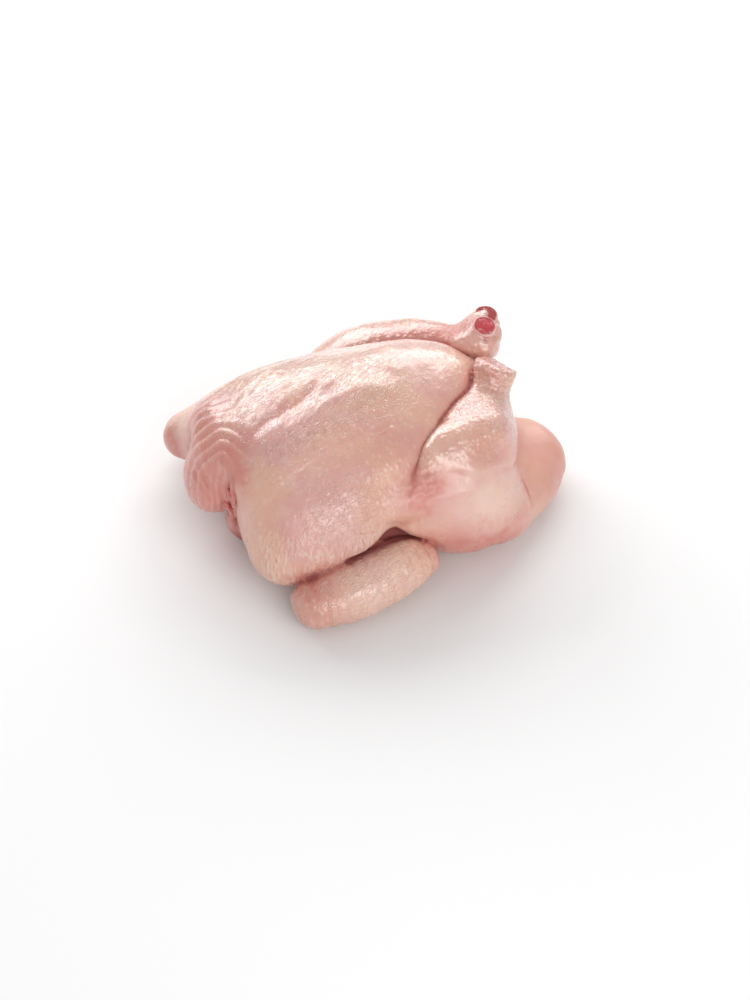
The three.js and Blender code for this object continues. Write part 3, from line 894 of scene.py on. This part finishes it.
class Bench:
    """A material being built, node by node."""

    def __init__(self, name):
        self.material = bpy.data.materials.new(name)
        self.material.use_nodes = True
        self.tree = self.material.node_tree
        self.tree.nodes.clear()

    def add(self, kind, settings, values):
        """Adds a node, sets it, then joins or fills its sockets."""
        node = self.tree.nodes.new(kind)
        for name, value in (settings or {}).items():
            setattr(node, name, value)
        for name, value in (values or {}).items():
            if isinstance(value, Wire):
                self.tree.links.new(value.socket, node.inputs[name])
            else:
                node.inputs[name].default_value = value
        return node

    def node(self, kind, settings=None, values=None, output=0):
        """Adds a node and gives one of its outputs."""
        return Wire(self, self.add(kind, settings, values).outputs[output])

    def place(self):
        return self.node("ShaderNodeTexCoord", output="Object")

    def mark(self, name):
        return self.node("ShaderNodeAttribute", {"attribute_name": name}, output="Fac")

    def stretched(self, vector, turn, lengths):
        """Coordinates turned about Z, in which patterns are drawn out by three lengths."""
        values = {"Vector": vector, "Rotation": (0.0, 0.0, turn), "Scale": lengths}
        return self.node("ShaderNodeMapping", {"vector_type": "TEXTURE"}, values)

    def noise(self, vector, size, detail=2.0, roughness=0.5, distortion=0.0):
        """Noise whose lumps are about `size` metres across."""
        values = {"Vector": vector, "Scale": 1 / size, "Detail": detail, "Roughness": roughness,
                  "Distortion": distortion}
        return self.node("ShaderNodeTexNoise", None, values)

    def cells(self, vector, size, feature="F1", **more):
        """Distance from scattered points about `size` metres apart, or from their cells' borders."""
        values = {"Vector": vector, "Scale": 1 / size, **more}
        return self.node("ShaderNodeTexVoronoi", {"feature": feature}, values)

    def mix(self, first, second, share):
        """Colour between two colours. Mix has float sockets first, so colours are 6 and 7."""
        settings = {"data_type": "RGBA"}
        return self.node("ShaderNodeMix", settings, {0: share, 6: first, 7: second}, output=2)

    def layered(self, base, *layers):
        """A base colour with others laid over it in turn, each where its share says."""
        colour = opaque(base)
        for other, share in layers:
            colour = self.mix(colour, opaque(other), share.clamped())
        return colour

    def bump(self, height, distance, strength=1.0):
        values = {"Height": height, "Distance": distance, "Strength": strength}
        return self.node("ShaderNodeBump", None, values)

    def finish(self, values):
        shader = self.node("ShaderNodeBsdfPrincipled", None, values)
        self.add("ShaderNodeOutputMaterial", None, {"Surface": shader})
        return self.material


def opaque(colour):
    """A property's colour as a socket takes it. A colour that varies is passed on."""
    return colour if isinstance(colour, Wire) else (*colour[:3], 1.0)


def skin_material(look):
    """Raw skin: pink flesh showing through, with painted shade in creases and hollows and painted light on
    crests and bumps, pores and fine crinkles.
    """
    bench = Bench("raw_skin")
    place = bench.place()
    crease, hollow, red, pale, yellow, pimples, goose, crinkle, scaly, hanging, far, wet, dull = (
        bench.mark(name) for name in ("crease", "hollow", "red", "pale", "yellow", "pimples", "goose",
                                      "crinkle", "scaly", "hanging", "far", "wet", "dull"))
    broad = bench.noise(place, 0.038, 3.0, 0.55)
    patches = bench.noise(place, 0.012, 3.0, 0.5, 0.6)
    specks = bench.noise(place, 0.003, 3.0, 0.6)
    upright = bench.stretched(place, 0.0, (1.0, 1.0, 1.9))
    dots = 1 - bench.cells(upright, 0.0042, Randomness=0.8).between(0.04, 0.42)
    grains = 1 - bench.cells(place, 0.0028, "SMOOTH_F1", Randomness=0.85, Smoothness=0.4).between(0.05, 0.65)
    near_film, far_film = (bench.noise(bench.stretched(place, turn, (2.6, 1.0, 1.0)), 0.0024, 2.0, 0.5, 0.7)
                           for turn in (0.55, -0.05))
    film = near_film + (far_film - near_film) * far
    grooves = 1 - (film - 0.5).absolute().between(0.0, 0.07)
    sags = bench.noise(bench.stretched(place, 0.4, (1.6, 1.0, 1.0)), 0.0050, 2.0, 0.5, 0.4)
    wrinkles = sags * 0.7 + film * 0.3 - grooves * 0.6
    curtain = bench.noise(bench.stretched(place, 0.0, (1.0, 1.0, 3.2)), 0.0019, 2.0, 0.55, 0.3)
    cracks = 1 - bench.cells(place, 0.0034, "DISTANCE_TO_EDGE").between(0.0, 0.09)
    colour = bench.layered(
        look.flesh,
        (look.pink, broad.between(0.38, 0.64)),
        (look.fat, patches.between(0.5, 0.74) * 0.35),
        # Pale and yellow: real fat, with painted light in some places.
        (look.fat, pale * (0.55 + patches * 0.6)),
        (look.yellow, yellow * (0.4 + patches * 0.6)),
        # Red: real stains, with painted shade and a painted reflection in some places.
        (look.blush, red * (0.5 + patches * 0.9)),
        # Painted shade in hollows, redder, and painted light on crests, paler.
        (look.blush, (hollow - 0.54) * 1.8),
        (look.fat, (0.44 - hollow) * 0.6),
        # The raised tops of pimples, goose bumps and hanging ridges are painted paler: partly their real
        # paler skin, partly a painted highlight.
        (look.fat, dots * pimples * 0.5),
        (look.fat, grains * goose * 0.22),
        (look.fat, curtain.between(0.48, 0.62) * hanging * 0.6),
        (look.blush, cracks * scaly * 0.25),
        (look.pink, specks.between(0.55, 0.75) * 0.15),
        # Painted shade in the creases and hollows.
        (look.blood_and_shade, crease ** 1.5 * 0.95),
    )
    height = (dots * pimples * 0.7 + grains * goose * 0.6 + wrinkles * crinkle
              + curtain * hanging * 2.4 - cracks * scaly * 0.3 + specks * 0.2 + patches * 0.5)
    roughness = (look.roughness + (specks - 0.5) * 0.25 + (patches - 0.5) * 0.25 + crease * 0.5
                 - crinkle * 0.05 - (wet - 0.5) * 0.08 + dull * 0.16)
    return bench.finish({
        "Base Color": colour,
        "Roughness": roughness.clamped(),
        "Normal": bench.bump(height, 0.0006),
        "IOR": 1.5,
        "Specular IOR Level": 0.95,
        "Subsurface Weight": look.glow,
        "Subsurface Radius": (1.0, 0.35, 0.2),
        "Subsurface Scale": 0.004,
        "Coat Weight": ((1 - crease * 1.2 - dull * 0.8) * (0.12 + wet * 0.6)).clamped(),
        "Coat Roughness": 0.22,
        "Coat IOR": 1.65,
    })


# What the knuckles and the raw flesh have in common: red light passes through, and a wet film.
RAW = {
    "Subsurface Weight": 0.25,
    "Subsurface Radius": (1.0, 0.25, 0.15),
    "Subsurface Scale": 0.003,
    "Coat Weight": 0.5,
}


def knuckle_material(look):
    """Cut bone and gristle: a wet red face inside a pale rim, over pinkish-grey sides, with painted shade
    along the face's lower edge.
    """
    bench = Bench("cut_knuckle")
    place = bench.place()
    face, rim, dark = bench.mark("face"), bench.mark("rim"), bench.mark("dark")
    blotches = bench.noise(place, 0.004, 3.0, 0.6)
    grain = bench.noise(place, 0.0012, 2.0, 0.5)
    streaks = bench.noise(bench.stretched(place, 0.5, (1.0, 3.0, 3.0)), 0.0014).between(0.55, 0.7)
    bloody = blotches.between(0.45, 0.7)
    # The dark mark lays painted shade along the face's lower edge and darkens the outer knuckle's face all
    # over.
    red = bench.layered(look.meat, (look.blood_and_shade, bloody * 0.6 + dark * 0.5),
                        (look.gristle, streaks * blotches * 0.6))
    side = bench.layered(look.gristle, (look.blush, bloody))
    ragged = rim * (0.3 + blotches.between(0.4, 0.6) * 0.7)
    height = blotches * 0.8 + grain * 0.5 + streaks * 0.3
    return bench.finish({
        "Base Color": bench.layered(side, (red, face), (look.gristle, ragged)),
        "Roughness": (0.22 + blotches * 0.25).clamped(),
        "Normal": bench.bump(height, 0.0006, 0.7),
        "Coat Roughness": 0.1,
        **RAW,
    })


def meat_material(look):
    """Raw red flesh with fibres and paler strings of fat."""
    bench = Bench("raw_flesh")
    place = bench.place()
    fibres = bench.noise(bench.stretched(place, 0.0, (1.0, 1.0, 3.0)), 0.0016, 3.0, 0.6)
    blotches = bench.noise(place, 0.005, 2.0, 0.5)
    return bench.finish({
        "Base Color": bench.layered(look.meat, (look.blush, blotches.between(0.2, 0.5)),
                                    (look.fat, fibres.between(0.55, 0.75) * 0.6)),
        "Roughness": (0.2 + blotches * 0.3).clamped(),
        "Normal": bench.bump(fibres, 0.0005, 0.8),
        "Coat Roughness": 0.12,
        **RAW,
    })


# ---- properties

def colour_property(name, description, default):
    return FloatVectorProperty(name=name, description=description, default=default, size=3,
                               min=0.0, max=1.0, subtype="COLOR")


class ChickenShape(bpy.types.PropertyGroup):
    """Sizes of the skin, in millimetres."""
    facet: FloatProperty(name="Facet", description="Edge of a facet of the skin", default=1.35,
                         min=0.8, max=6.0)
    fold_pitch: FloatProperty(name="Fold pitch", description="From one neck fold to the next",
                              default=6.4, min=2.0, max=15.0)
    fold_depth: FloatProperty(name="Fold depth", description="Depth of the neck's arched folds",
                              default=1.1, min=0.0, max=5.0)
    knuckle_sides: IntProperty(name="Knuckle sides", description="Facets round a knuckle",
                               default=72, min=12, max=256)


class ChickenLook(bpy.types.PropertyGroup):
    """Colours and gloss of the skin and flesh."""
    flesh: colour_property("Flesh", "Plain skin over flesh", (0.70, 0.395, 0.285))
    pink: colour_property("Pink", "Pinker patches of skin", (0.66, 0.335, 0.295))
    # Also laid on crests and on raised tops of bumps as painted light.
    fat: colour_property("Fat", "Skin over white fat", (0.79, 0.55, 0.46))
    yellow: colour_property("Yellow", "Skin over yellow fat", (0.86, 0.52, 0.36))
    # Also laid into hollows as painted shade.
    blush: colour_property("Blush", "Reddened skin", (0.60, 0.20, 0.16))
    meat: colour_property("Meat", "Raw red flesh", (0.53, 0.05, 0.07))
    # Painted shade: the dark red laid into the skin's creases and hollows and along the knuckles' lower
    # edges; on the knuckles it is also real blood.
    blood_and_shade: colour_property("Blood", "Deep in the creases", (0.34, 0.07, 0.06))
    gristle: colour_property("Gristle", "Rim of a knuckle", (0.78, 0.48, 0.44))
    roughness: FloatProperty(name="Roughness", description="Dullness of the skin", default=0.3,
                             min=0.0, max=1.0, subtype="FACTOR")
    glow: FloatProperty(name="Glow", description="Light that passes through the skin", default=0.3,
                        min=0.0, max=1.0, subtype="FACTOR")


class ChickenStage(bpy.types.PropertyGroup):
    """Camera, lights and floor."""
    elevation: FloatProperty(name="Elevation", description="Height of the camera above level",
                             default=0.7156, subtype="ANGLE")
    azimuth: FloatProperty(name="Azimuth", description="Turn of the camera from the bird's side",
                           default=-0.4363, subtype="ANGLE")
    distance: FloatProperty(name="Distance", description="From the camera to the middle of the bird",
                            default=1.1667, unit="LENGTH")
    lens: FloatProperty(name="Lens", description="Focal length of the camera", default=70.0,
                        min=1.0, unit="CAMERA")
    window_power: FloatProperty(name="Window", description="Power of the light behind, on the left",
                                default=12.0, min=0.0, unit="POWER")
    door_power: FloatProperty(name="Door", description="Power of the light behind, on the right",
                              default=9.5, min=0.0, unit="POWER")
    fill_power: FloatProperty(name="Fill", description="Power of the light in front", default=9.0,
                              min=0.0, unit="POWER")
    sky: FloatProperty(name="Sky", description="Brightness of the soft light from all round",
                       default=0.5, min=0.0)
    floor_colour: colour_property("Floor", "Colour of the floor", (0.88, 0.88, 0.88))


# ---- operators

class CHICKEN_OT_skin(bpy.types.Operator):
    """Build the skin of the whole bird over its frame"""
    bl_idname = "chicken.skin"
    bl_label = "Skin"

    def execute(self, context):
        shape = context.scene.chicken_shape
        cell = shape.facet
        margin = 3 * cell
        low, high = np.array(FIELD_LOW) - margin, np.array(FIELD_HIGH) + margin
        lattice = sample_lattice(skin_field, low, high, cell)
        fill_pinches(lattice, cell)
        vertices, quads = net_mesh(lattice, low, cell)
        vertices, normals = settle(skin_field, vertices)
        regions = part_regions(vertices)
        shaped = vertices + normals * relief(vertices, regions, shape)[:, None]
        marks = colour_marks(shaped, quads, normals, regions)
        piece = mesh_piece("skin", shaped, quads, marks)
        piece.data.materials.append(skin_material(context.scene.chicken_look))
        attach(piece, "root")
        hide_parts("carcass")
        return {"FINISHED"}


class CHICKEN_OT_knuckles(bpy.types.Operator):
    """Build the two bare knuckles of the left hock"""
    bl_idname = "chicken.knuckles"
    bl_label = "Knuckles"

    def execute(self, context):
        shape, look = context.scene.chicken_shape, context.scene.chicken_look
        material = knuckle_material(look)
        for seed, (name, face) in enumerate(KNUCKLE_FACES.items()):
            piece = self.knuckle(name, np.array(face, float), shape.knuckle_sides, seed)
            piece.data.materials.append(material)
            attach(piece, "root")
            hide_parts(name)
        return {"FINISHED"}

    def knuckle(self, name, face, sides, seed):
        """A stub turned about its axis: up the side, over a round rim, onto a slightly domed face.

        A row has a radius and a height: 2 rows of foot, 12 of side, 9 of rim (a quarter turn) and 13
        of face (a parabola). Random fields swell the radius and roughen the face.
        """
        bend = np.linspace(0, np.pi / 2, 10)[1:]
        inner = np.linspace(1, 0, 14)[1:]
        rim, edge = KNUCKLE_RIM, KNUCKLE_EDGE
        radii = KNUCKLE_RADIUS * np.concatenate(
            [[0, 0.5], np.linspace(0.9, 1, 12), 1 - rim + rim * np.cos(bend), (1 - rim) * inner])
        heights = np.concatenate(
            [[-KNUCKLE_LENGTH] * 2, np.linspace(-KNUCKLE_LENGTH, -edge, 12),
             -edge + edge * np.sin(bend), 0.5 * (1 - inner**2) - 0.25])
        is_face = np.concatenate([np.zeros(19), [0.3, 0.7, 0.9, 1.0], np.ones(13)])
        is_rim = np.concatenate([np.zeros(14), np.sin(2 * bend), np.zeros(13)])
        side, front, axis = frame_about(KNUCKLE_FACING)
        outward = (radii[:, None, None] * ring(side, front, sides)).reshape(-1, 3)
        along = np.repeat(heights, sides)[:, None] * axis
        rows = np.repeat(radii, sides) / KNUCKLE_RADIUS
        swell = 1 + 0.16 * WAVES(outward + along + 31 * seed, 9)
        rough = 0.55 * LUMPS(outward + 57 * seed, 3.2) * rise_between(rows, 0.0, 0.4)
        lift = rough * np.repeat(is_face, sides)
        points = outward * swell[:, None] + along + lift[:, None] * axis
        # Painted shade: the face's lower edge, turned down, is marked dark.
        lower_edge_shade = rise_between(rows, 0.55, 0.8) * rise_between(-outward[:, 2], 0.5, 2.4)
        marks = {"face": np.repeat(is_face, sides), "rim": np.repeat(is_rim, sides),
                 "dark": seed + 1.4 * lower_edge_shade}
        piece = mesh_piece(name + "_bone", points + face, grid_faces(len(radii), sides), marks)
        tidy_poles(piece)
        return piece


class CHICKEN_OT_flesh(bpy.types.Operator):
    """Build the strands of raw flesh between the neck and the right shoulder"""
    bl_idname = "chicken.flesh"
    bl_label = "Raw flesh"

    def execute(self, context):
        material = meat_material(context.scene.chicken_look)
        for number, stations in enumerate(STRANDS, 1):
            piece = self.strand("raw_strand_%d" % number, stations)
            piece.data.materials.append(material)
            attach(piece, "root")
        return {"FINISHED"}

    def strand(self, name, stations):
        """A round section carried along a smooth path, shrinking to nothing over its last steps."""
        curve = smooth_path(stations, 8)
        middles = curve[:, :3]
        share = np.linspace(0, 1, len(curve))
        radius = curve[:, 3] * np.sqrt(np.clip(1 - (2 * share - 1)**8, 0, 1))
        radius = radius * (1 + 0.35 * WAVES(middles, 6))
        along = unit(np.gradient(middles, axis=0))
        side = unit(np.cross(along, (1.0, 0.2, 0.0)))
        around = ring(side, np.cross(along, side), STRAND_SIDES)
        points = (middles[:, None] + radius[:, None, None] * around).reshape(-1, 3)
        thick = rise_between(np.repeat(radius, STRAND_SIDES), 0.3, 1.5)
        height, size = STRAND_LUMPS
        swell = height * LUMPS(points, size) * thick
        points = points + swell[:, None] * around.reshape(-1, 3)
        piece = mesh_piece(name, points, grid_faces(len(curve), STRAND_SIDES))
        tidy_poles(piece)
        return piece


class CHICKEN_OT_stage(bpy.types.Operator):
    """Lay the floor and set the lights and the camera"""
    bl_idname = "chicken.stage"
    bl_label = "Stage"

    def execute(self, context):
        stage = context.scene.chicken_stage
        self.floor(stage)
        self.camera(context, stage)
        for name, (place, size) in LIGHTS.items():
            self.light(name, self.seen_from(stage, *place), size, getattr(stage, name + "_power"))
        world = bpy.data.worlds.new("room")
        world.use_nodes = True
        sky = world.node_tree.nodes["Background"]
        sky.inputs["Color"].default_value = (1, 1, 1, 1)
        sky.inputs["Strength"].default_value = stage.sky
        context.scene.world = world
        context.scene.view_settings.view_transform = "Standard"
        return {"FINISHED"}

    def floor(self, stage):
        half = FLOOR_SIDE / 2
        corners = [(-half, -half, 0), (half, -half, 0), (half, half, 0), (-half, half, 0)]
        floor = mesh_piece("floor", corners, [(0, 1, 2, 3)])
        bench = Bench("floor_paper")
        shade = bench.noise(bench.place(), 0.4, 2.0)
        darker = opaque([0.97 * part for part in stage.floor_colour])
        colour = bench.mix(opaque(stage.floor_colour), darker, shade)
        floor.data.materials.append(bench.finish({"Base Color": colour, "Roughness": 0.85}))
        floor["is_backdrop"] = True

    def seen_from(self, stage, right, forward, up):
        """A place given as right of, beyond and above the bird as the camera sees it."""
        cosine, sine = np.cos(stage.azimuth), np.sin(stage.azimuth)
        return Vector((cosine * right - sine * forward, sine * right + cosine * forward, up))

    def camera(self, context, stage):
        data = bpy.data.cameras.new("camera")
        data.lens = stage.lens
        data.clip_start = 0.05
        camera = new_object("camera", data)
        reach, lift = np.cos(stage.elevation), np.sin(stage.elevation)
        offset = self.seen_from(stage, 0, -reach, lift) * stage.distance
        camera.location = Vector(CAMERA_AIM) + offset
        camera.rotation_euler = (-offset).to_track_quat("-Z", "Y").to_euler()
        context.scene.camera = camera

    def light(self, name, place, size, power):
        """A rectangular light that faces the bird."""
        data = bpy.data.lights.new(name, "AREA")
        data.shape = "RECTANGLE"
        data.size, data.size_y = size
        data.energy = power
        light = new_object(name, data)
        light.location = place
        light.rotation_euler = (-place).to_track_quat("-Z", "Y").to_euler()


class CHICKEN_PT_panel(bpy.types.Panel):
    """Lists the chicken's sizes, colours and steps"""
    bl_idname = "CHICKEN_PT_panel"
    bl_label = "Raw chicken"
    bl_space_type = "VIEW_3D"
    bl_region_type = "UI"
    bl_category = "Chicken"

    def draw(self, context):
        for group in (context.scene.chicken_shape, context.scene.chicken_look,
                      context.scene.chicken_stage):
            box = self.layout.box()
            for name in group.__annotations__:
                box.prop(group, name)
        for operator in OPERATORS:
            self.layout.operator(operator.bl_idname)


GROUPS = {"chicken_shape": ChickenShape, "chicken_look": ChickenLook, "chicken_stage": ChickenStage}
OPERATORS = (CHICKEN_OT_stage, CHICKEN_OT_skin, CHICKEN_OT_knuckles, CHICKEN_OT_flesh)
CLASSES = (*GROUPS.values(), *OPERATORS, CHICKEN_PT_panel)


def register():
    for cls in CLASSES:
        bpy.utils.register_class(cls)
    for name, group in GROUPS.items():
        setattr(bpy.types.Scene, name, PointerProperty(type=group))


def unregister():
    for name in GROUPS:
        delattr(bpy.types.Scene, name)
    for cls in reversed(CLASSES):
        bpy.utils.unregister_class(cls)


def main():
    register()
    bpy.ops.chicken.stage()
    bpy.ops.chicken.skin()
    bpy.ops.chicken.knuckles()
    bpy.ops.chicken.flesh()
    boxes = {"cad": CAD_BOX, "visual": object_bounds()}
    boxes = {name: [[float(part) for part in corner] for corner in box] for name, box in boxes.items()}


if __name__ == "__main__":
    main()
